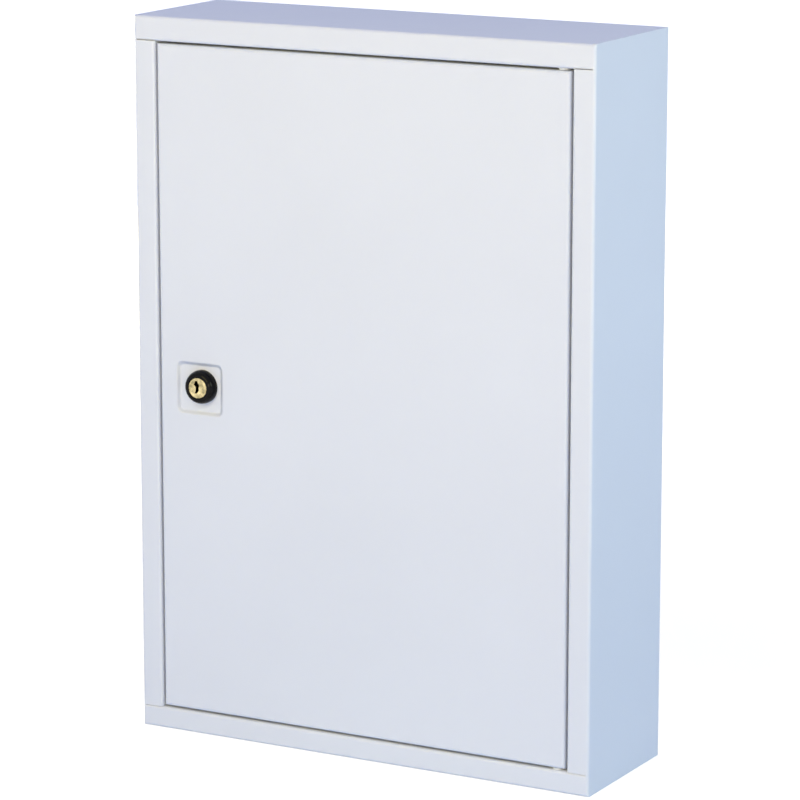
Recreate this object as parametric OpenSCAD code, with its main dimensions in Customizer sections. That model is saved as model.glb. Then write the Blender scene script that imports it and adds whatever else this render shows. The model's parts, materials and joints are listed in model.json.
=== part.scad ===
// Wall cabinet for medicines: folded steel carcass, inset steel door on hidden pivot pins, cam lock.
// X runs across the front, Y runs from the front to the wall, Z runs up.
// The origin is the centre of the underside.

/* [Cabinet] */
// Width of the cabinet
cab_w = 320; // [260:5:400]
// Height of the cabinet
cab_h = 460; // [400:5:600]
// Depth from the front face to the wall
cab_d = 100; // [90:5:160]
// Thickness of the folded steel sheet
sheet = 1; // [0.8:0.1:1.2]
// Outer radius of the folded edges
bend_r = 2; // [1.6:0.1:2.2]
// Depth of the edges turned forward round the back panel
back_edge = 10; // [6:1:15]

/* [Front frame] */
// Width of the frame at each side of the door
stile_w = 15; // [14:0.5:20]
// Height of the frame above the door
head_h = 15.5; // [14:0.5:20]
// Height of the frame below the door
sill_h = 14; // [12:0.5:20]
// Depth of the lips turned in round the door opening
lip_d = 12; // [11:0.5:12.5]
// Width of the welded seams at the frame's corners
seam = 0.2; // [0.1:0.05:0.3]

/* [Door] */
// Gap all round the door
door_gap = 1.5; // [1.3:0.1:2]
// Depth of the door's folded edges
door_d = 13; // [12.5:0.5:14]
// Width of the stiffening channel, without its flanges
rib_w = 30; // [20:1:60]
// Depth of the stiffening channel
rib_d = 9; // [6:0.5:10]
// Width of each flange of the stiffening channel
rib_flange = 10; // [6:1:15]
// Distance from the door's ends to the ends of the stiffening channel
rib_end = 34; // [24:1:80]

/* [Hinges] */
// Distance from the hinge axis to the door's hinged edge
hinge_in = 6.5; // [6.5:0.5:12]
// Distance from the front face to the hinge axis
hinge_back = 5.5; // [5.2:0.1:5.8]
// Diameter of the hinge pins
pin_dia = 3.5; // [3:0.1:4]
// Diameter of the heads of the hinge pins
pin_head_dia = 5; // [4.6:0.1:5]
// Height of the heads of the hinge pins
pin_head_h = 1.5; // [1:0.1:2.5]
// Outer diameter of the hinge bushes
bush_dia = 5.6; // [5.2:0.1:6]
// Diameter of the bushes' flanges
bush_flange_dia = 7; // [6.4:0.1:8]
// Thickness of the plates that back the frame at the bushes
pad_t = 2; // [1:0.5:4]
// Length of the plates that back the frame at the bushes
pad_len = 24; // [18:1:34]
// Thickness of the angles that hold the pins in the door
angle_t = 2; // [1.5:0.5:3]
// Length of each angle's leg across the door
angle_len = 24; // [18:1:34]
// Length of each angle's leg along the door's edge
angle_drop = 20; // [12:1:34]
// Radial play of the pins in their bushes
pin_play = 0.05; // [0.02:0.01:0.08]

/* [Lock] */
// Distance from the door's free edge to the lock's axis
lock_edge = 30.5; // [26:0.5:40]
// Height of the lock's axis above the underside
lock_z = 228; // [200:1:260]
// Width of the pressed dish round the lock
dish_w = 34.5; // [30:0.5:38]
// Depth of the pressed dish
dish_d = 1.3; // [0.8:0.1:1.6]
// Width of the dish's sloping sides
dish_slope = 3; // [2:0.1:3.4]
// Corner radius of the dish
dish_r = 5; // [4:0.5:7]
// How far the dish's middle lies below the lock's axis, and towards the door's free edge
dish_offset = 1.5; // [0:0.1:2]
// Diameter of the bezel at the dish
bezel_dia = 21.6; // [19:0.2:24]
// Diameter of the bezel's front rim
rim_dia = 15.8; // [15:0.2:17.8]
// Height of the bezel over the dish
bezel_h = 6.6; // [4:0.1:8]
// Height of the straight band round the foot of the bezel
bezel_band = 0.8; // [0.4:0.1:1.5]
// Diameter of the lock's threaded barrel
barrel_dia = 17.6; // [17:0.2:19]
// Width over the flats of the barrel
barrel_flats = 15.6; // [15.2:0.1:16.6]
// Diameter of the turning plug
plug_dia = 13.6; // [12:0.1:14]
// Width of the hexagon nut over its flats
nut_flats = 22; // [21:0.5:25]
// Thickness of the hexagon nut
nut_t = 3.5; // [2.5:0.5:4.5]
// Diameter of the toothed washer
washer_dia = 22; // [21:0.5:24]
// Thickness of the toothed washer
washer_t = 0.8; // [0.5:0.1:1.2]
// Height of the keyway
key_h = 8; // [7:0.2:9]
// Width of the keyway with its ward groove
key_w = 4; // [3:0.2:4.4]
// Depth of the keyway
key_depth = 10; // [6:0.5:11]

/* [Cam and strike] */
// Space between the door's folded edges and the cam
cam_setback = 2.2; // [1.9:0.1:2.6]
// Thickness of the cam
cam_t = 2; // [1.5:0.1:2.5]
// Width of the cam's arm
cam_w = 14; // [10:0.5:16]
// Diameter of the cam round the plug
cam_hub_dia = 18; // [16:0.5:20]
// How far the cam reaches behind the frame
cam_bite = 8; // [6:0.5:9]
// Side of the square drive on the plug
drive_w = 7; // [6:0.1:8]
// Diameter of the screw that holds the cam
screw_dia = 4; // [3:0.5:4.5]
// Width of the cam screw's head over its flats
screw_flats = 8; // [6:0.5:9]
// Height of the cam screw's head
screw_head_h = 2.8; // [2:0.1:3]
// Length of the cam screw in the plug
screw_len = 6; // [4:0.5:7]
// Diameter of the washer under the cam screw
cam_washer_dia = 11; // [10:0.5:13]
// Thickness of the washer under the cam screw
cam_washer_t = 1; // [0.6:0.1:1.2]
// Thickness of the strike plate
strike_t = 1.2; // [1:0.1:1.4]
// Height of the strike plate
strike_h = 34; // [24:1:60]

/* [Door stops] */
// Distance from the frame's ends to the door stops
stop_from_end = 60; // [40:1:90]
// Height of each door stop
stop_h = 16; // [10:1:30]
// Length of each stop's leg behind the door
stop_len = 12; // [10:0.5:18]
// Thickness of the rubber pads
stop_pad_t = 1.4; // [1:0.1:1.8]

/* [Shelves] */
// Height of the lower shelf's top
lower_shelf_z = 150; // [110:1:180]
// Height of the upper shelf's top
upper_shelf_z = 305; // [280:1:340]
// Distance from the front face to the shelves
shelf_setback = 24; // [22:0.5:35]
// Depth of the shelves' folded edges
shelf_lip = 12; // [8:0.5:20]
// Width of the ledges that carry the shelves
ledge_w = 14; // [12:1:20]
// Height of the ledges' upright legs
ledge_h = 12; // [8:1:25]
// Diameter of the shelf rivets
rivet_dia = 3.2; // [2.4:0.1:4]
// Diameter of the rivet heads
rivet_head_dia = 6; // [5:0.5:8]
// Height of the rivet heads
rivet_head_h = 1; // [0.6:0.1:1.6]
// Distance from a ledge's ends to its rivets
rivet_end = 10; // [8:1:20]

/* [Wall holes] */
// Diameter of the wall screw holes
wall_hole_dia = 6.5; // [5:0.5:9]
// Spacing of the wall screw holes across the back
wall_hole_x = 240; // [120:5:270]
// Spacing of the wall screw holes up the back
wall_hole_z = 360; // [280:5:400]

/* [Hidden] */
$fn = 64;

white_steel = [0.91, 0.92, 0.94];
plated_steel = [0.72, 0.73, 0.75];
black_plastic = [0.05, 0.05, 0.06];
nylon = [0.88, 0.87, 0.83];
rubber = [0.16, 0.16, 0.17];
brass = [0.80, 0.68, 0.38];

// Clearances between pieces
slip = 0.05;      // a piece in a hole of its own shape
rest_gap = 0.3;   // a moving piece beside the piece that stops it
shelf_gap = 0.5;  // a shelf beside the walls
over = 1;         // how far a cutting shape runs past the faces it cuts

front = -cab_d / 2;
wall_x = cab_w / 2 - sheet;           // inner face of the side walls
lip_x = cab_w / 2 - stile_w;          // face of the side lips, towards the door
door_w = cab_w - 2 * (stile_w + door_gap);
door_z = sill_h + door_gap;
door_h = cab_h - head_h - sill_h - 2 * door_gap;
inner_r = bend_r - sheet;             // inside radius of the folded edges

hinge_x = door_w / 2 - hinge_in;
bush_bore_dia = pin_dia + 2 * pin_play;

lock_x = -door_w / 2 + lock_edge;
// The dish's sides as shares of their width and depth, from just in front of the face
dish_side = [[-0.25, -0.12], [0.25, 0.12], [0.75, 0.88], [1, 1]];
bezel_face = dish_d - bezel_h;        // depths behind the front face, so this one is in front of it
// The keyway's edge from its top round to the right, as shares of its width and height
key_edge = [
    [-0.475, -0.57], [-0.01, -0.57], [0.075, -0.4], [0.3, -0.28], [0.3, -0.15], [0.225, -0.05],
    [0.24, 0.15], [0.075, 0.31], [-0.14, 0.43], [-0.55, 0.43], [-0.375, 0.26], [-0.325, 0.075],
    [-0.34, -0.075], [-0.475, -0.16], [-0.7, -0.275], [-0.525, -0.39]
];
plug_bore_dia = plug_dia + 2 * slip;
plug_inset = 0.2;                     // the plug's face behind the bezel's rim
plug_bevel = 0.4;
skin_back = dish_d + sheet;
cam_front = door_d + cam_setback;
cam_back = cam_front + cam_t;
barrel_back = cam_front - rest_gap;
cam_reach = lock_edge + door_gap + sheet + cam_bite;
washer_teeth = 12;
bezel_steps = 10;

strike_back = cam_front - rest_gap;
strike_side_gap = 2;                  // between the strike plate and the side wall
strike_w = stile_w - 2 * sheet - strike_side_gap;
leg_start = bend_r + 2;               // where the legs behind the side lip begin

pad_front = door_d + rest_gap;
stop_back = pad_front + stop_pad_t + sheet;
stop_pad_edge = 1.5;                  // bare metal round a rubber pad

shelf_w = 2 * (wall_x - sheet - shelf_gap);
shelf_back = cab_d - sheet - rest_gap;
ledge_front = shelf_setback + 2 * sheet;
ledge_back = cab_d - back_edge - 2 * sheet;
rivet_x = wall_x - ledge_w / 2 - sheet;

// Outlines of folded sheet

// A rectangle with its corner at the origin rounded
module corner_block(w, d, r) {
    translate([r, 0]) square([w - r, d]);
    translate([0, r]) square([w, d - r]);
    translate([r, r]) circle(r);
}

// A rectangle with both corners of its front edge rounded
module front_block(w, d, r) {
    intersection() {
        corner_block(w, d, r);
        translate([w, 0]) mirror([1, 0]) corner_block(w, d, r);
    }
}

// Two legs folded from sheet, with the outer corner at the origin
module angle_section(w, d, t) {
    difference() {
        corner_block(w, d, t + inner_r);
        translate([t, t]) corner_block(w, d, inner_r);
    }
}

// A channel folded from sheet, open at its back
module channel_section(w, d) {
    difference() {
        front_block(w, d, bend_r);
        translate([sheet, sheet]) front_block(w - 2 * sheet, d, inner_r);
    }
}

// Wall, frame face and inner lip of one edge of the carcass
module frame_section(w) {
    channel_section(w, lip_d);
    translate([0, lip_d]) square([sheet, cab_d - lip_d]);
}

// Places

// Runs an outline drawn across Y and Z along X, evenly to both sides
module along_x(len) {
    rotate([90, 0, 90]) linear_extrude(len, center = true) children();
}

// Runs an outline drawn across X and Z along Y, between two depths behind the front face
module along_y(from, to) {
    translate([0, front + to, 0]) rotate([90, 0, 0]) linear_extrude(to - from) children();
}

// Turns heights above the underside into depths below the top
module from_top() {
    translate([0, 0, cab_h]) mirror([0, 0, 1]) children();
}

// Puts the lock's axis along Y, with depths behind the front face along the local Z
module on_lock_axis(depth) {
    translate([lock_x, front + depth, lock_z]) rotate([-90, 0, 0]) children();
}

// A block whose front edges are rounded on all four sides
module soft_block(w, h, d, r) {
    intersection() {
        linear_extrude(h) translate([-w / 2, 0]) front_block(w, d, r);
        along_x(w) mirror([1, -1]) front_block(h, d, r);
    }
}

// A shallow tray of folded sheet, open at its back
module tray(w, h, d) {
    difference() {
        soft_block(w, h, d, bend_r);
        translate([0, sheet, sheet]) soft_block(w - 2 * sheet, h - 2 * sheet, d, inner_r);
    }
}

// Carcass

module back_panel() {
    color(white_steel) difference() {
        translate([0, cab_d / 2, sheet]) mirror([0, 1, 0]) tray(2 * wall_x, cab_h - 2 * sheet, back_edge);
        for (x = [-1, 1], z = [-1, 1])
            translate([x * wall_hole_x / 2, cab_d / 2 + over, cab_h / 2 + z * wall_hole_z / 2])
                rotate([90, 0, 0]) cylinder(h = sheet + 2 * over, d = wall_hole_dia);
    }
}

module side_panel() {
    color(white_steel) intersection() {
        translate([-cab_w / 2, front, 0]) {
            linear_extrude(cab_h) intersection() {
                frame_section(stile_w);
                square([bend_r, cab_d]);
            }
            translate([0, 0, sill_h + seam]) linear_extrude(cab_h - sill_h - head_h - 2 * seam)
                frame_section(stile_w);
        }
        translate([0, front, 0]) along_x(cab_w) mirror([1, -1]) front_block(cab_h, cab_d, bend_r);
    }
}

module left_side() {
    side_panel();
}

module right_side() {
    mirror([1, 0, 0]) side_panel();
}

// The wall, frame face and lip across one end, with its bore for the hinge bush
module end_panel(face_h) {
    color(white_steel) difference() {
        translate([0, front, 0]) {
            along_x(cab_w - 2 * bend_r) mirror([1, -1]) channel_section(face_h, lip_d);
            along_x(2 * wall_x) translate([bend_r, 0]) square([cab_d - bend_r, sheet]);
        }
        bush_hole(face_h);
    }
}

module bush_hole(face_h) {
    translate([hinge_x, front + hinge_back, face_h - sheet - pad_t - over])
        cylinder(h = sheet + pad_t + 2 * over, d = bush_dia + 2 * slip);
}

module bottom_panel() {
    end_panel(sill_h);
}

module top_panel() {
    from_top() end_panel(head_h);
}

// Shelves

module shelf(z) {
    color(white_steel) difference() {
        translate([0, front + shelf_setback, z]) along_x(shelf_w) mirror([0, 1])
            channel_section(shelf_back - shelf_setback, shelf_lip);
        rivet_holes(z);
    }
}

module ledge(z) {
    color(white_steel) difference() {
        along_y(ledge_front, ledge_back) translate([-wall_x, z - sheet]) mirror([0, 1])
            angle_section(ledge_w, ledge_h, sheet);
        rivet_holes(z);
    }
}

module at_rivets(z) {
    for (x = [-rivet_x, rivet_x], y = [ledge_front + rivet_end, ledge_back - rivet_end])
        translate([x, front + y, z]) children();
}

module rivet_holes(z) {
    at_rivets(z) translate([0, 0, -2 * sheet - over])
        cylinder(h = 2 * (sheet + over), d = rivet_dia + 2 * slip);
}

module rivet() {
    cylinder(h = rivet_head_h, d1 = rivet_head_dia, d2 = rivet_head_dia * 0.6);
    translate([0, 0, -2 * sheet]) cylinder(h = 2 * sheet, d = rivet_dia);
    translate([0, 0, -2 * sheet - rivet_head_h]) cylinder(h = rivet_head_h, d = rivet_dia * 1.5);
}

module upper_shelf() {
    shelf(upper_shelf_z);
}

module lower_shelf() {
    shelf(lower_shelf_z);
}

module upper_ledge_left() {
    ledge(upper_shelf_z);
}

module upper_ledge_right() {
    mirror([1, 0, 0]) ledge(upper_shelf_z);
}

module lower_ledge_left() {
    ledge(lower_shelf_z);
}

module lower_ledge_right() {
    mirror([1, 0, 0]) ledge(lower_shelf_z);
}

module shelf_rivets() {
    color(plated_steel) for (z = [lower_shelf_z, upper_shelf_z]) at_rivets(z) rivet();
}

// Hinges: a bush in the frame's lip, and a pin held by an angle inside the door

module hinge_plate(face_h) {
    color(plated_steel) difference() {
        translate([hinge_x - pad_len / 2, front + bend_r, face_h - sheet - pad_t])
            cube([min(pad_len, pad_len / 2 + lip_x + stile_w - bend_r - hinge_x), lip_d - bend_r, pad_t]);
        bush_hole(face_h);
    }
}

module hinge_bush(face_h) {
    flange_t = door_gap - rest_gap;
    body_h = sheet + pad_t + slip;
    color(nylon) translate([hinge_x, front + hinge_back, face_h]) difference() {
        union() {
            cylinder(h = flange_t, d = bush_flange_dia);
            translate([0, 0, -body_h]) cylinder(h = body_h, d = bush_dia);
        }
        translate([0, 0, -body_h - over]) cylinder(h = body_h + flange_t + 2 * over, d = bush_bore_dia);
    }
}

module hinge_angle(face_h) {
    foot = face_h + door_gap + sheet;
    color(plated_steel) difference() {
        along_y(sheet + inner_r, door_d - sheet)
            translate([door_w / 2 - sheet, foot]) mirror([1, 0]) angle_section(angle_len, angle_drop, angle_t);
        pin_hole(face_h);
    }
}

module pin_hole(face_h) {
    translate([hinge_x, front + hinge_back, face_h + door_gap - over])
        cylinder(h = sheet + angle_t + 2 * over, d = pin_dia + 2 * slip);
}

module hinge_pin(face_h) {
    tip = face_h - sheet - pad_t - slip;
    head = face_h + door_gap + sheet + angle_t;
    tip_bevel = 0.5;
    color(plated_steel) translate([hinge_x, front + hinge_back, 0]) {
        translate([0, 0, tip]) cylinder(h = tip_bevel, d1 = pin_dia - 2 * tip_bevel, d2 = pin_dia);
        translate([0, 0, tip + tip_bevel]) cylinder(h = head - tip - tip_bevel, d = pin_dia);
        translate([0, 0, head]) cylinder(h = pin_head_h, d = pin_head_dia);
    }
}

module lower_hinge_plate() {
    hinge_plate(sill_h);
}

module upper_hinge_plate() {
    from_top() hinge_plate(head_h);
}

module lower_hinge_bush() {
    hinge_bush(sill_h);
}

module upper_hinge_bush() {
    from_top() hinge_bush(head_h);
}

module lower_hinge_angle() {
    hinge_angle(sill_h);
}

module upper_hinge_angle() {
    from_top() hinge_angle(head_h);
}

module lower_hinge_pin() {
    hinge_pin(sill_h);
}

module upper_hinge_pin() {
    from_top() hinge_pin(head_h);
}

// Strike plate and door stops, on the hidden side of the left lip

module strike_plate() {
    color(plated_steel) translate([-lip_x - sheet, front + strike_back, lock_z - strike_h / 2])
        linear_extrude(strike_h) rotate(180)
            angle_section(strike_w, strike_back - leg_start, strike_t);
}

module door_stop(z) {
    color(white_steel) translate([-lip_x - 2 * sheet, front + stop_back, z - stop_h / 2])
        linear_extrude(stop_h) mirror([0, 1])
            angle_section(stop_len, stop_back - leg_start, sheet);
}

module stop_pad(z) {
    pad_x = -lip_x + stop_pad_edge - sheet;
    pad_w = stop_len - sheet - 2 * stop_pad_edge;
    color(rubber) translate([pad_x, front + pad_front, z - stop_h / 2 + stop_pad_edge])
        cube([pad_w, stop_pad_t, stop_h - 2 * stop_pad_edge]);
}

module lower_door_stop() {
    door_stop(stop_from_end);
}

module upper_door_stop() {
    door_stop(cab_h - stop_from_end);
}

module lower_stop_pad() {
    stop_pad(stop_from_end);
}

module upper_stop_pad() {
    stop_pad(cab_h - stop_from_end);
}

// Door

// The dish's form, with sides that start and end gently
module dish_form(w) {
    c = w / 2 - dish_r;
    for (i = [1:len(dish_side) - 1]) {
        from = dish_side[i - 1];
        to = dish_side[i];
        hull() for (x = [-c, c], y = [-c, c])
            translate([x - dish_offset, y + dish_offset, from.y * dish_d])
                cylinder(h = (to.y - from.y) * dish_d,
                    r1 = dish_r - from.x * dish_slope, r2 = dish_r - to.x * dish_slope, $fn = 32);
    }
}

// The barrel's outline with its two flats
module barrel_outline(play) {
    intersection() {
        circle(d = barrel_dia + 2 * play);
        square([barrel_flats + 2 * play, barrel_dia + 2 * over], center = true);
    }
}

module door_panel() {
    color(white_steel) difference() {
        union() {
            translate([0, front, door_z]) tray(door_w, door_h, door_d);
            on_lock_axis(sheet) dish_form(dish_w + sheet);
        }
        on_lock_axis(0) dish_form(dish_w);
        on_lock_axis(0) linear_extrude(skin_back + over) barrel_outline(slip);
        pin_hole(sill_h);
        from_top() pin_hole(head_h);
    }
}

module door_stiffener() {
    color(white_steel) translate([0, front + sheet, door_z + rib_end]) linear_extrude(door_h - 2 * rib_end) {
        translate([-rib_w / 2, rib_d]) mirror([0, 1]) channel_section(rib_w, rib_d);
        for (x = [-rib_w / 2 - rib_flange, rib_w / 2 - sheet]) translate([x, 0]) square([rib_flange + sheet, sheet]);
    }
}

// Lock

module lock_body() {
    foot_r = bezel_dia / 2;
    rim_r = rim_dia / 2;
    dome_h = bezel_h - bezel_band;
    dome = [for (i = [0:bezel_steps]) let (a = 90 * i / bezel_steps)
        [rim_r + (foot_r - rim_r) * cos(a), dish_d - bezel_band - dome_h * sin(a)]];
    color(black_plastic) difference() {
        union() {
            on_lock_axis(0) rotate_extrude() polygon(concat([[0, dish_d], [foot_r, dish_d]], dome, [[0, bezel_face]]));
            on_lock_axis(dish_d) linear_extrude(barrel_back - dish_d) barrel_outline(0);
        }
        on_lock_axis(bezel_face - over)
            cylinder(h = barrel_back - bezel_face + 2 * over, d = plug_bore_dia);
    }
}

module lock_washer() {
    color(plated_steel) on_lock_axis(skin_back) linear_extrude(washer_t) difference() {
        circle(d = washer_dia);
        circle(d = barrel_dia + 2 * slip);
        for (i = [0:washer_teeth - 1]) rotate(360 * i / washer_teeth)
            translate([washer_dia / 2, 0]) circle(d = washer_dia / washer_teeth);
    }
}

module lock_nut() {
    color(plated_steel) on_lock_axis(skin_back + washer_t) difference() {
        cylinder(h = nut_t, d = nut_flats / cos(30), $fn = 6);
        translate([0, 0, -over]) cylinder(h = nut_t + 2 * over, d = barrel_dia + 2 * slip);
    }
}

// The keyway's outline: a curved slot with a ward groove beside its upper half
module keyway_outline() {
    polygon([for (p = key_edge) [p.x * key_w, p.y * key_h]]);
}

module lock_plug() {
    face = bezel_face + plug_inset;
    color(brass) difference() {
        union() {
            on_lock_axis(face) cylinder(h = plug_bevel, d1 = plug_dia - 2 * plug_bevel, d2 = plug_dia);
            on_lock_axis(face + plug_bevel) cylinder(h = cam_front - face - plug_bevel, d = plug_dia);
            on_lock_axis(cam_front) translate([-drive_w / 2, -drive_w / 2, 0])
                cube([drive_w, drive_w, cam_t - slip]);
        }
        on_lock_axis(face - over) linear_extrude(key_depth + over) keyway_outline();
        on_lock_axis(cam_back - screw_len - over) cylinder(h = screw_len + 2 * over, d = screw_dia + 2 * slip);
    }
}

module lock_cam() {
    tip_y = cam_reach - cam_w / 2;
    color(plated_steel) on_lock_axis(cam_front) linear_extrude(cam_t) difference() {
        union() {
            circle(d = cam_hub_dia);
            translate([-cam_w / 2, 0]) square([cam_w, tip_y]);
            translate([0, tip_y]) circle(d = cam_w);
        }
        square(drive_w + 2 * slip, center = true);
    }
}

module cam_washer() {
    color(plated_steel) on_lock_axis(cam_back) difference() {
        cylinder(h = cam_washer_t, d = cam_washer_dia);
        translate([0, 0, -over]) cylinder(h = cam_washer_t + 2 * over, d = screw_dia + 2 * slip);
    }
}

module cam_screw() {
    head = cam_back + cam_washer_t;
    color(plated_steel) {
        on_lock_axis(cam_back - screw_len) cylinder(h = screw_len + cam_washer_t, d = screw_dia);
        on_lock_axis(head) cylinder(h = screw_head_h, d = screw_flats / cos(30), $fn = 6);
    }
}

back_panel();
left_side();
right_side();
top_panel();
bottom_panel();
upper_shelf();
lower_shelf();
upper_ledge_left();
upper_ledge_right();
lower_ledge_left();
lower_ledge_right();
shelf_rivets();
upper_hinge_plate();
lower_hinge_plate();
upper_hinge_bush();
lower_hinge_bush();
strike_plate();
upper_door_stop();
lower_door_stop();
upper_stop_pad();
lower_stop_pad();
door_panel();
door_stiffener();
upper_hinge_angle();
lower_hinge_angle();
upper_hinge_pin();
lower_hinge_pin();
lock_body();
lock_washer();
lock_nut();
lock_plug();
lock_cam();
cam_washer();
cam_screw();
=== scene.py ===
# Medicine cabinet: white powder-coated steel, black lock bezel and brass plug, on a pale floor.
# The part's own frame has X to the right, Y towards the wall and Z up. Lengths are metres, except
# for the sizes and the points of the added details, which are millimetres.
import json
from math import cos, pi, radians, sin

import bpy
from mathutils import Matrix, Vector


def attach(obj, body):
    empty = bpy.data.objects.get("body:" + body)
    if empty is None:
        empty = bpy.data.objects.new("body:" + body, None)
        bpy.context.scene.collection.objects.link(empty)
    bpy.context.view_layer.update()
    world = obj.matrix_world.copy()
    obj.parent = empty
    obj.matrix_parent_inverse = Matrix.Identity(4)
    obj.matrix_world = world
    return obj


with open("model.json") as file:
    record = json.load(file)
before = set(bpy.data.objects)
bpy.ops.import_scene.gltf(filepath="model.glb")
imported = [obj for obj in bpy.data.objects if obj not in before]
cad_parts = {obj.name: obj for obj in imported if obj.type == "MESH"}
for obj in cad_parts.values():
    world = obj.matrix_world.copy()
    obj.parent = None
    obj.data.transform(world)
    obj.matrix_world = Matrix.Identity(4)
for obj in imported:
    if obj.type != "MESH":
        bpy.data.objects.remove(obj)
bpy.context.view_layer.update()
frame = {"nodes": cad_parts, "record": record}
nodes = frame["nodes"]

MM = 0.001

# Camera: where it stands and how it is turned, as the photograph shows the cabinet
CAMERA_PLACE = (1.1446, -2.0794, 0.7298)
CAMERA_TILT = 12.08
CAMERA_TURN = 28.79
CAMERA_LENS = 174.2
CAMERA_REACH = 40.0
CAMERA_SENSOR = 36.0

# Lights: name, place, size, colour times power in watts
LIGHTS = (
    ("key", (0.18, -2.0, 1.93), (0.22, 0.22), (9.6, 10.3, 9.5)),
    ("front", (-0.1, -1.0, 0.66), (0.7, 0.3), (3.5, 3.0, 1.1)),
    ("low", (0.3, -2.3, 0.35), (1.2, 0.5), (11.7, 9.8, 7.6)),
    ("corner", (1.3, -1.3, 0.75), (0.3, 0.3), (2.5, 2.0, 1.0)),
    ("side", (1.1, -0.05, 0.62), (0.5, 0.5), (3.45, 4.0, 3.0)),
    ("rear", (-1.5, 1.5, 0.30), (1.0, 0.3), (30.0, 27.0, 15.0)),
)
LIGHT_AIM = (0, 0, 0.25)

# Sky: two colours, and the heights between which the first runs into the second
SKY_LOW, SKY_HIGH = (0.24, 0.28, 0.26), (0.12, 0.19, 0.62)
SKY_FROM, SKY_TO = 0.15, 0.75

# Floor: its half side, and the glow that turns it white away from the cabinet
FLOOR_HALF = 12.0
FLOOR_NEAR, FLOOR_FAR, FLOOR_LIFT = 0.3, 1.6, 0.54

# Colours, linear light
POWDER = (0.80, 0.805, 0.82)
ZINC = (0.42, 0.43, 0.45)
BLACK_GLOSS = (0.002, 0.002, 0.0025)
NYLON = (0.74, 0.75, 0.75)
RUBBER = (0.018, 0.018, 0.019)
BRASS = (0.47, 0.40, 0.21)
FLOOR = (0.42, 0.62, 0.98)
FLOOR_SEEN = (0.96, 0.87, 0.72)
WHITE = (1, 1, 1, 1)

# The share of the noise's range that colours and roughness follow
NOISE_LOW, NOISE_HIGH = 0.3, 0.7

# Sizes of the part that the added details follow, in millimetres
CAB_W, CAB_H, FRONT = 320.0, 460.0, -50.0
STILE_W, HEAD_H, SILL_H, SEAM, BEND_R, SHEET = 15.0, 15.5, 14.0, 0.2, 2.0, 1.0
LOCK_X, LOCK_Z = -113.0, 228.0
PLUG_FACE = -55.1
DISH_X, DISH_Z, DISH_W, DISH_R, DISH_SLOPE = -114.5, 226.5, 34.5, 5.0, 3.0
BARREL_R, BARREL_FLAT = 8.8, 7.8
NUT_BACK, BARREL_BACK = 6.6, 14.9
RIB_WELD_X, RIB_LOW, RIB_HIGH = 20.0, 49.5, 409.0

# The paint's soft edge round the dish: how far it runs past the slope at each side, in
# millimetres, and the height of its bump, in metres
DISH_SOFT = 0.4
DISH_BUMP = 0.0009

# The painted shade inside the keyway, from the plug's face inwards, as place and level, over a
# depth in millimetres
KEYWAY_SHADES = ((0.0, 1.0), (0.12, 0.12), (0.75, 0.12), (1.0, 1.0))
KEYWAY_DEEP = 12.0

# Seam welds, in millimetres: how deep they go and lie behind the face, and how far they run
# into the bend and stop short of the stile's inner edge
WELD_DEEP, WELD_SUNK = 0.85, 0.004
WELD_OUTER, WELD_INNER = 0.05, 0.6

# Thread, in millimetres: its root lies a little outside the barrel, it starts a gap behind the
# nut, and the gaps at its two ends are given together
THREAD_PITCH, THREAD_TALL, THREAD_CORE, THREAD_SLACK = 1.0, 0.22, 7.2, 0.01
THREAD_FRONT, THREAD_ENDS = 0.02, 0.06

# How steeply a ridge falls off along the pitch: at 3 it fills two thirds of it
THREAD_SHARP = 3.0

# Spot welds, in millimetres: how many on each side, how far the outer ones lie from the
# channel's ends, the height of the middle over the sheet, and radius and height of the rings
SPOT_COUNT, SPOT_INSET, SPOT_MIDDLE = 7, 14, 0.03
SPOT_RINGS = ((1.3, 0.02), (1.8, 0.14), (2.3, 0.17), (2.8, 0.10), (3.2, -0.02))


# Node helpers


def new_material(name, metallic=0.0, roughness=0.5, specular=0.5):
    """A material with its node tree, shader and object-space coordinates."""
    mat = bpy.data.materials.new(name)
    mat.use_nodes = True
    tree = mat.node_tree
    shader = tree.nodes["Principled BSDF"]
    shader.inputs["Metallic"].default_value = metallic
    shader.inputs["Roughness"].default_value = roughness
    shader.inputs["Specular IOR Level"].default_value = specular
    coords = tree.nodes.new("ShaderNodeTexCoord")
    return mat, tree, shader, coords.outputs["Object"]


def noise(tree, coords, scale, detail=2.0, stretch=None):
    """A noise value over the object's space, stretched along an axis if asked."""
    source = coords
    if stretch:
        mapping = tree.nodes.new("ShaderNodeMapping")
        mapping.inputs["Scale"].default_value = stretch
        tree.links.new(coords, mapping.inputs["Vector"])
        source = mapping.outputs["Vector"]
    node = tree.nodes.new("ShaderNodeTexNoise")
    node.inputs["Scale"].default_value = scale
    node.inputs["Detail"].default_value = detail
    tree.links.new(source, node.inputs["Vector"])
    return node.outputs["Fac"]


def spread(tree, value, start, end, low=0.0, high=1.0, curve="LINEAR"):
    """A value's range from start to end, spread over the range from low to high."""
    node = tree.nodes.new("ShaderNodeMapRange")
    node.interpolation_type = curve
    node.inputs["From Min"].default_value = start
    node.inputs["From Max"].default_value = end
    node.inputs["To Min"].default_value = low
    node.inputs["To Max"].default_value = high
    tree.links.new(value, node.inputs["Value"])
    return node.outputs["Result"]


def calculate(tree, operation, first, second):
    """A calculation on two values."""
    node = tree.nodes.new("ShaderNodeMath")
    node.operation = operation
    tree.links.new(first, node.inputs[0])
    tree.links.new(second, node.inputs[1])
    return node.outputs[0]


def calculate_vector(tree, operation, first, second=None):
    """A calculation on a vector, with a fixed second vector if it takes one."""
    node = tree.nodes.new("ShaderNodeVectorMath")
    node.operation = operation
    if second is not None:
        node.inputs[1].default_value = second
    tree.links.new(first, node.inputs[0])
    return node.outputs["Value" if operation == "LENGTH" else "Vector"]


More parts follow.
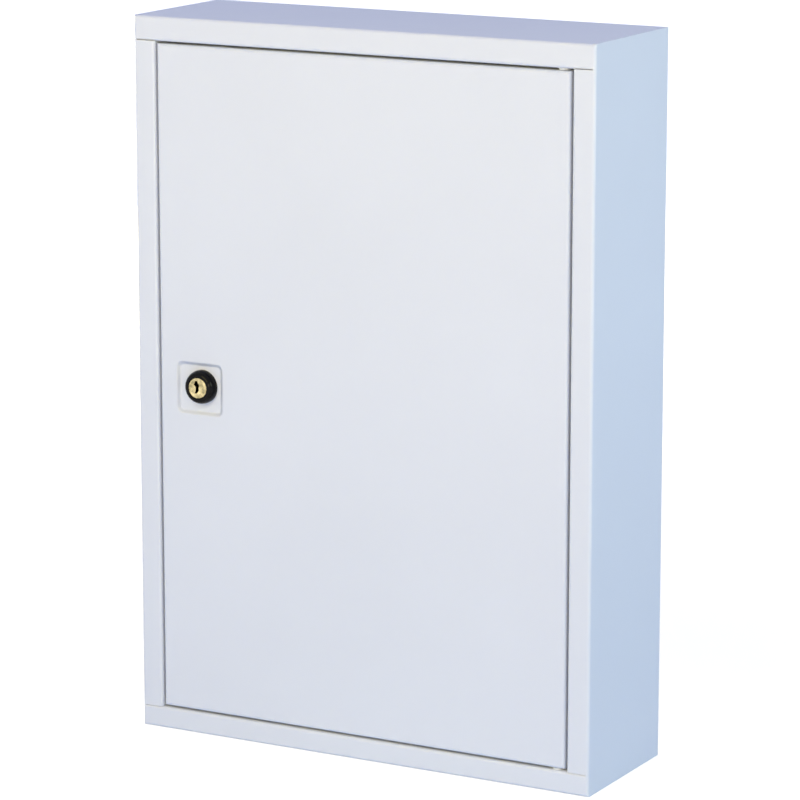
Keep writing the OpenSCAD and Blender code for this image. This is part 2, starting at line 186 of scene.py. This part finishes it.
def blend_colours(tree, value, low, high):
    """A colour that runs from low to high with a value."""
    node = tree.nodes.new("ShaderNodeMix")
    node.data_type = "RGBA"
    node.inputs["A"].default_value = (*low, 1)
    node.inputs["B"].default_value = (*high, 1)
    tree.links.new(value, node.inputs["Factor"])
    return node.outputs["Result"]


def scaled(colour, factor):
    """A colour made lighter or darker by a factor."""
    return tuple(c * factor for c in colour)


def vary_colour(tree, shader, value, colour, dark, light):
    """Base colour that runs from a darker to a lighter tone of a colour with a noise value."""
    ramp = tree.nodes.new("ShaderNodeValToRGB")
    ends = ((NOISE_LOW, dark), (NOISE_HIGH, light))
    for element, (place, factor) in zip(ramp.color_ramp.elements, ends):
        element.position = place
        element.color = (*scaled(colour, factor), 1)
    tree.links.new(value, ramp.inputs["Fac"])
    tree.links.new(ramp.outputs["Color"], shader.inputs["Base Color"])


def vary_roughness(tree, shader, value, low, high):
    """Roughness that runs between two values with a noise value."""
    rough = spread(tree, value, NOISE_LOW, NOISE_HIGH, low, high)
    tree.links.new(rough, shader.inputs["Roughness"])


def add_bump(tree, shader, value, strength, distance, below=None):
    """Bump from a value; a second call takes the first one's normal."""
    bump = tree.nodes.new("ShaderNodeBump")
    bump.inputs["Strength"].default_value = strength
    bump.inputs["Distance"].default_value = distance
    tree.links.new(value, bump.inputs["Height"])
    if below:
        tree.links.new(below, bump.inputs["Normal"])
    tree.links.new(bump.outputs["Normal"], shader.inputs["Normal"])
    return bump.outputs["Normal"]


# Materials


def dish_height(tree, coords):
    """0 on the pressed dish's floor and 1 on the face round it, from the distance to its edge."""
    straight = (DISH_W / 2 - DISH_R) * MM
    offset = calculate_vector(tree, "SUBTRACT", coords, (DISH_X * MM, 0, DISH_Z * MM))
    fold = calculate_vector(tree, "ABSOLUTE", offset)
    # A whole metre along Y, so that depth never counts
    beyond = calculate_vector(tree, "SUBTRACT", fold, (straight, 1, straight))
    corner = calculate_vector(tree, "MAXIMUM", beyond, (0, 0, 0))
    away = calculate_vector(tree, "LENGTH", corner)
    start, end = (DISH_R - DISH_SLOPE - DISH_SOFT) * MM, (DISH_R + DISH_SOFT) * MM
    return spread(tree, away, start, end, curve="SMOOTHERSTEP")


def powder_coat(name="powder_coat", dished=False):
    """White powder coat with a fine orange peel, and on the door the soft edge round the dish."""
    mat, tree, shader, coords = new_material(name)
    fine = noise(tree, coords, scale=900.0, detail=3.0)
    vary_colour(tree, shader, noise(tree, coords, scale=9.0), POWDER, dark=0.985, light=1.01)
    vary_roughness(tree, shader, fine, low=0.38, high=0.48)
    lower = None
    if dished:
        edge = dish_height(tree, coords)
        lower = add_bump(tree, shader, edge, strength=1.0, distance=DISH_BUMP)
    peel = noise(tree, coords, scale=260.0)
    lower = add_bump(tree, shader, peel, strength=0.10, distance=0.0001, below=lower)
    add_bump(tree, shader, fine, strength=0.08, distance=0.00005, below=lower)
    return mat


def zinc_plate():
    """Zinc plating with a faint cloudy grain."""
    mat, tree, shader, coords = new_material("zinc_plate", metallic=1.0)
    cloud = noise(tree, coords, scale=120.0, detail=4.0)
    vary_colour(tree, shader, cloud, ZINC, dark=0.9, light=1.12)
    vary_roughness(tree, shader, cloud, low=0.30, high=0.48)
    add_bump(tree, shader, noise(tree, coords, scale=1500.0), strength=0.15, distance=0.00005)
    return mat


def black_gloss():
    """Glossy black moulded plastic."""
    mat, tree, shader, coords = new_material("black_gloss", specular=0.12)
    grain = noise(tree, coords, scale=700.0, detail=3.0)
    vary_colour(tree, shader, grain, BLACK_GLOSS, dark=0.8, light=1.3)
    vary_roughness(tree, shader, grain, low=0.06, high=0.10)
    add_bump(tree, shader, noise(tree, coords, scale=400.0), strength=0.06, distance=0.00006)
    return mat


def white_nylon():
    """White nylon, slightly waxy."""
    mat, tree, shader, coords = new_material("white_nylon")
    shader.inputs["Subsurface Weight"].default_value = 0.2
    shader.inputs["Subsurface Radius"].default_value = (0.0010, 0.0009, 0.0007)
    grain = noise(tree, coords, scale=1200.0, detail=3.0)
    vary_colour(tree, shader, grain, NYLON, dark=0.95, light=1.04)
    vary_roughness(tree, shader, grain, low=0.40, high=0.52)
    add_bump(tree, shader, grain, strength=0.15, distance=0.00004)
    return mat


def soft_rubber():
    """Matt black rubber with a fine tooth."""
    mat, tree, shader, coords = new_material("soft_rubber")
    grain = noise(tree, coords, scale=1800.0, detail=4.0)
    vary_colour(tree, shader, grain, RUBBER, dark=0.8, light=1.3)
    vary_roughness(tree, shader, grain, low=0.7, high=0.9)
    add_bump(tree, shader, grain, strength=0.3, distance=0.0001)
    return mat


def paint_keyway_shade(tree, shader, coords):
    """Painted shade: the brass inside the keyway, behind the plug's face, is darkened as the slot's
    shade.
    """
    parts = tree.nodes.new("ShaderNodeSeparateXYZ")
    tree.links.new(coords, parts.inputs["Vector"])
    shade = tree.nodes.new("ShaderNodeValToRGB")
    stops = shade.color_ramp.elements
    stops.remove(stops[1])
    for place, level in KEYWAY_SHADES:
        stop = stops.new(place) if place else stops[0]
        stop.color = (level, level, level, 1)
    depth = spread(tree, parts.outputs["Y"], PLUG_FACE * MM, (PLUG_FACE + KEYWAY_DEEP) * MM)
    tree.links.new(depth, shade.inputs["Fac"])
    paint = tree.nodes.new("ShaderNodeMix")
    paint.data_type = "RGBA"
    paint.blend_type = "MULTIPLY"
    paint.inputs["Factor"].default_value = 1.0
    tree.links.new(shader.inputs["Base Color"].links[0].from_socket, paint.inputs["A"])
    tree.links.new(shade.outputs["Color"], paint.inputs["B"])
    tree.links.new(paint.outputs["Result"], shader.inputs["Base Color"])


def polished_brass():
    """Polished brass with faint turning marks, handling wear, painted reflections as light and dark
    blotches in its colour, and painted shade in the keyway.
    """
    mat, tree, shader, coords = new_material("polished_brass", metallic=1.0)
    cloud = noise(tree, coords, scale=260.0, detail=3.0)
    # The colour's blotches, from half to seven fourths of the brass tone, are painted reflections
    # in place of the polished face's uneven highlights
    vary_colour(tree, shader, cloud, BRASS, dark=0.5, light=1.75)
    # Painted shade inside the keyway
    paint_keyway_shade(tree, shader, coords)
    vary_roughness(tree, shader, cloud, low=0.18, high=0.34)
    wear = noise(tree, coords, scale=420.0)
    lower = add_bump(tree, shader, wear, strength=0.5, distance=0.0006)
    turning = noise(tree, coords, scale=2200.0, stretch=(1, 1, 0.15))
    add_bump(tree, shader, turning, strength=0.12, distance=0.00004, below=lower)
    return mat


def dress_nodes():
    """Every CAD node takes the material of its slot, and the door panel its own powder coat."""
    by_slot = {
        "white_powder_coat": powder_coat(),
        "zinc_steel": zinc_plate(),
        "black_plastic": black_gloss(),
        "white_nylon": white_nylon(),
        "rubber": soft_rubber(),
        "brass": polished_brass(),
    }
    for part in frame["record"]["subparts"]:
        mesh = nodes[part["node"]].data
        mesh.materials.clear()
        mesh.materials.append(by_slot[part["material_slot"]])
    nodes["door_panel"].data.materials[0] = powder_coat("powder_coat_door", dished=True)
    return by_slot


# Added details


def add_piece(name, points, faces, body, mat):
    """A mesh piece from points in millimetres, riding on a body with its slot's finish."""
    mesh = bpy.data.meshes.new(name)
    mesh.from_pydata([tuple(c * MM for c in p) for p in points], [], faces)
    mesh.validate()
    mesh.materials.append(mat)
    mesh.shade_smooth()
    piece = bpy.data.objects.new(name, mesh)
    bpy.context.scene.collection.objects.link(piece)
    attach(piece, body)


def circle(x, y, z, radius, around):
    """Points round a circle that faces the front."""
    turns = [2 * pi * j / around for j in range(around)]
    return [(x + radius * cos(turn), y, z + radius * sin(turn)) for turn in turns]


def tube_faces(rings, around, first=0):
    """Quads that join each ring of points to the next, all the way round."""
    faces = []
    for i in range(rings - 1):
        a, b = first + i * around, first + (i + 1) * around
        for j in range(around):
            k = (j + 1) % around
            faces.append((a + j, b + j, b + k, a + k))
    return faces


def seam_welds(mat):
    """Paint-filled welds in the four seams between the stiles and the rails."""
    upper, lower = CAB_H - HEAD_H, SILL_H + SEAM
    # Side, upper edge of the seam, and how far the paint has sunk in its middle
    fills = ((-1, upper, 0.22), (1, upper, 0.10), (-1, lower, 0.02), (1, lower, 0.06))
    outer, inner = CAB_W / 2 - BEND_R + WELD_OUTER, CAB_W / 2 - STILE_W + WELD_INNER
    across, along = 6, 12
    count = across + 3  # a ring has the points over the face and two at the back
    points, faces = [], []
    for side, top, depth in fills:
        first = len(points)
        for i in range(along + 1):
            x = side * (outer + (inner - outer) * i / along)
            for j in range(across + 1):
                t = j / across
                dip = depth * sin(pi * t) ** 0.5 if 0 < j < across else 0.0
                points.append((x, FRONT + dip + WELD_SUNK, top - SEAM * t))
            points.append((x, FRONT + WELD_DEEP, top - SEAM))
            points.append((x, FRONT + WELD_DEEP, top))
        last = first + along * count
        faces += tube_faces(along + 1, count, first)
        faces.append(tuple(range(first, first + count)))
        faces.append(tuple(reversed(range(last, last + count))))
    add_piece("seam_welds", points, faces, "cabinet", mat)


def thread_radius(turn, phase, ridged):
    """Distance of the thread's surface from the barrel's axis, cut away at the two flats."""
    ridge = max(0.0, 1.0 - abs(phase - 0.5) * THREAD_SHARP)
    radius = BARREL_R + THREAD_SLACK + (THREAD_TALL * ridge if ridged else 0.0)
    across = abs(cos(turn)) * radius
    flat = BARREL_FLAT + THREAD_SLACK
    return radius * (flat / across) if across > flat else radius


def barrel_thread(mat):
    """The thread on the lock's barrel, from its nut to its end."""
    steps, around = 96, 96
    length = BARREL_BACK - NUT_BACK - THREAD_ENDS
    depths = [NUT_BACK + THREAD_FRONT + length * i / steps for i in range(steps + 1)]
    points = []
    for i, depth in enumerate(depths):
        for j in range(around):
            turn = 2 * pi * j / around
            phase = (depth / THREAD_PITCH - j / around) % 1.0
            radius = thread_radius(turn, phase, ridged=0 < i < steps)
            points.append((LOCK_X + radius * cos(turn), FRONT + depth, LOCK_Z + radius * sin(turn)))
    faces = tube_faces(steps + 1, around)
    tail, back = steps * around, len(points)
    front = back + around
    for depth in (depths[-1], depths[0]):
        points += circle(LOCK_X, FRONT + depth, LOCK_Z, THREAD_CORE, around)
    for j in range(around):
        k = (j + 1) % around
        faces.append((tail + j, back + j, back + k, tail + k))
        faces.append((back + j, front + j, front + k, back + k))
        faces.append((front + j, j, k, front + k))
    add_piece("barrel_thread", points, faces, "door", mat)


def spot_welds(mat):
    """Raised rings of the spot welds that hold the stiffening channel to the door."""
    around = 32
    skin = FRONT + 2 * SHEET
    low, length = RIB_LOW + SPOT_INSET, RIB_HIGH - RIB_LOW - 2 * SPOT_INSET
    points, faces = [], []
    for x in (-RIB_WELD_X, RIB_WELD_X):
        for n in range(SPOT_COUNT):
            z = low + length * n / (SPOT_COUNT - 1)
            middle, ring = len(points), len(points) + 1
            points.append((x, skin + SPOT_MIDDLE, z))
            for radius, height in SPOT_RINGS:
                points += circle(x, skin + height, z, radius, around)
            faces += [(middle, ring + j, ring + (j + 1) % around) for j in range(around)]
            faces += tube_faces(len(SPOT_RINGS), around, ring)
            faces.append(tuple(reversed(range(len(points) - around, len(points)))))
    add_piece("stiffener_spot_welds", points, faces, "door", mat)


# Studio


def add_camera():
    """A long lens that looks at the cabinet from the photograph's place."""
    data = bpy.data.cameras.new("camera")
    data.lens = CAMERA_LENS
    data.sensor_width = CAMERA_SENSOR
    data.sensor_fit = "HORIZONTAL"
    data.clip_end = CAMERA_REACH
    camera = bpy.data.objects.new("camera", data)
    camera.location = CAMERA_PLACE
    camera.rotation_euler = (radians(90 - CAMERA_TILT), 0, radians(CAMERA_TURN))
    bpy.context.scene.collection.objects.link(camera)
    bpy.context.scene.camera = camera


def add_area_light(name, place, size, power):
    """A soft light aimed at the cabinet, with its power given for red, green and blue."""
    data = bpy.data.lights.new(name, "AREA")
    data.shape = "RECTANGLE"
    data.size, data.size_y = size
    data.energy = max(power)
    data.color = scaled(power, 1 / max(power))
    lamp = bpy.data.objects.new(name, data)
    lamp.location = place
    aim = Vector(LIGHT_AIM) - Vector(place)
    lamp.rotation_euler = aim.to_track_quat("-Z", "Y").to_euler()
    bpy.context.scene.collection.objects.link(lamp)


def seen_rays(tree):
    """1 for camera, glossy and transmission rays, 0 for all others."""
    path = tree.nodes.new("ShaderNodeLightPath")
    seen = path.outputs["Is Camera Ray"]
    for ray in ("Is Glossy Ray", "Is Transmission Ray"):
        seen = calculate(tree, "MAXIMUM", seen, path.outputs[ray])
    return seen


def add_world():
    """A pale sky that lights the cabinet, seen as plain white."""
    world = bpy.data.worlds.new("studio")
    bpy.context.scene.world = world
    world.use_nodes = True
    tree = world.node_tree
    lit = tree.nodes["Background"]
    coords = tree.nodes.new("ShaderNodeTexCoord")
    parts = tree.nodes.new("ShaderNodeSeparateXYZ")
    tree.links.new(coords.outputs["Generated"], parts.inputs["Vector"])
    height = spread(tree, parts.outputs["Z"], SKY_FROM, SKY_TO, curve="SMOOTHSTEP")
    tree.links.new(blend_colours(tree, height, SKY_LOW, SKY_HIGH), lit.inputs["Color"])
    white = tree.nodes.new("ShaderNodeBackground")
    white.inputs["Color"].default_value = WHITE
    mix = tree.nodes.new("ShaderNodeMixShader")
    tree.links.new(seen_rays(tree), mix.inputs["Fac"])
    tree.links.new(lit.outputs["Background"], mix.inputs[1])
    tree.links.new(white.outputs["Background"], mix.inputs[2])
    tree.links.new(mix.outputs["Shader"], tree.nodes["World Output"].inputs["Surface"])


def add_floor():
    """A pale floor that is seen as white and keeps the cabinet's shadow."""
    mesh = bpy.data.meshes.new("floor")
    signs = ((-1, -1), (1, -1), (1, 1), (-1, 1))
    corners = [(x * FLOOR_HALF, y * FLOOR_HALF, 0) for x, y in signs]
    mesh.from_pydata(corners, [], [(0, 1, 2, 3)])
    floor = bpy.data.objects.new("floor", mesh)
    bpy.context.scene.collection.objects.link(floor)
    mat, tree, shader, coords = new_material("studio_floor", roughness=0.8, specular=0.2)
    seen = seen_rays(tree)
    tree.links.new(blend_colours(tree, seen, FLOOR, FLOOR_SEEN), shader.inputs["Base Color"])
    away = calculate_vector(tree, "LENGTH", coords)
    lift = spread(tree, away, FLOOR_NEAR, FLOOR_FAR, low=FLOOR_LIFT)
    shader.inputs["Emission Color"].default_value = WHITE
    glow = calculate(tree, "MULTIPLY", lift, seen)
    tree.links.new(glow, shader.inputs["Emission Strength"])
    mesh.materials.append(mat)


finishes = dress_nodes()
seam_welds(finishes["white_powder_coat"])
barrel_thread(finishes["black_plastic"])
spot_welds(finishes["white_powder_coat"])
add_camera()
add_world()
add_floor()
for light in LIGHTS:
    add_area_light(*light)

bpy.context.scene.view_settings.view_transform = "Standard"
